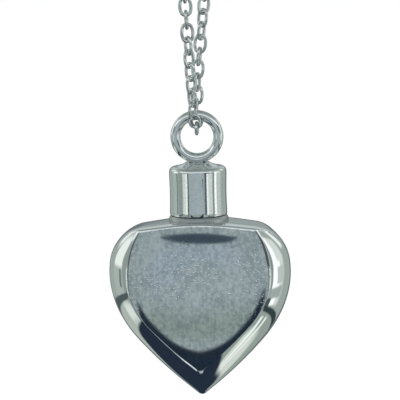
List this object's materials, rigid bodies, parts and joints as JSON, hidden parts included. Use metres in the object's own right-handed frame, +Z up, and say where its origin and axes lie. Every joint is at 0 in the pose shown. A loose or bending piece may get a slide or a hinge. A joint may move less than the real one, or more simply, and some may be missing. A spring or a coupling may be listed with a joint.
{
  "type": "keepsake urn pendant",
  "caption": "Hollow heart-shaped keepsake pendant closed by a threaded screw cap with a ring, hanging on a fine cable chain with a plain clasp.",
  "frame": {"origin": "where the necklace hangs: inside the top of the loop, at the middle of the clasp's underside", "axes": "+Z up along the hanging chain, -Y towards the front face of the heart, +X to the right as seen from the front"},
  "size_m": [0.0439, 0.0086, 0.2712],
  "materials": {
    "heart_steel": "mirror-polished stainless steel with a fine haze",
    "cap_steel": "polished turned stainless steel",
    "chain_steel": "tumble-polished stainless steel wire",
    "clasp_steel": "polished stainless steel"
  },
  "bodies": {
    "chain": {"ring_link": "chain_steel", "left_link_1": "chain_steel", "left_link_2": "chain_steel", "left_link_3": "chain_steel", "left_link_4": "chain_steel", "left_link_5": "chain_steel", "left_link_6": "chain_steel", "left_link_7": "chain_steel", "left_link_8": "chain_steel", "left_link_9": "chain_steel", "left_link_10": "chain_steel", "left_link_11": "chain_steel", "left_link_12": "chain_steel", "right_link_1": "chain_steel", "right_link_2": "chain_steel", "right_link_3": "chain_steel", "right_link_4": "chain_steel", "right_link_5": "chain_steel", "right_link_6": "chain_steel", "right_link_7": "chain_steel", "right_link_8": "chain_steel", "right_link_9": "chain_steel", "right_link_10": "chain_steel", "right_link_11": "chain_steel", "right_link_12": "chain_steel", "chain_left": "chain_steel", "chain_right": "chain_steel", "clasp": "clasp_steel"},
    "cap": {"screw_cap": "cap_steel"},
    "urn": {"heart_urn": "heart_steel"}
  },
  "joints": [
    {"name": "pendant_swing", "type": "hinge", "parent": "chain", "child": "cap", "pos_m": [0, 0, -0.236], "axis": [1, 0, 0], "range_deg": [-80, 80]},
    {"name": "unscrew", "type": "slide", "parent": "cap", "child": "urn", "axis": [0, 0, -1], "range_m": [0, 0.005]}
  ]
}
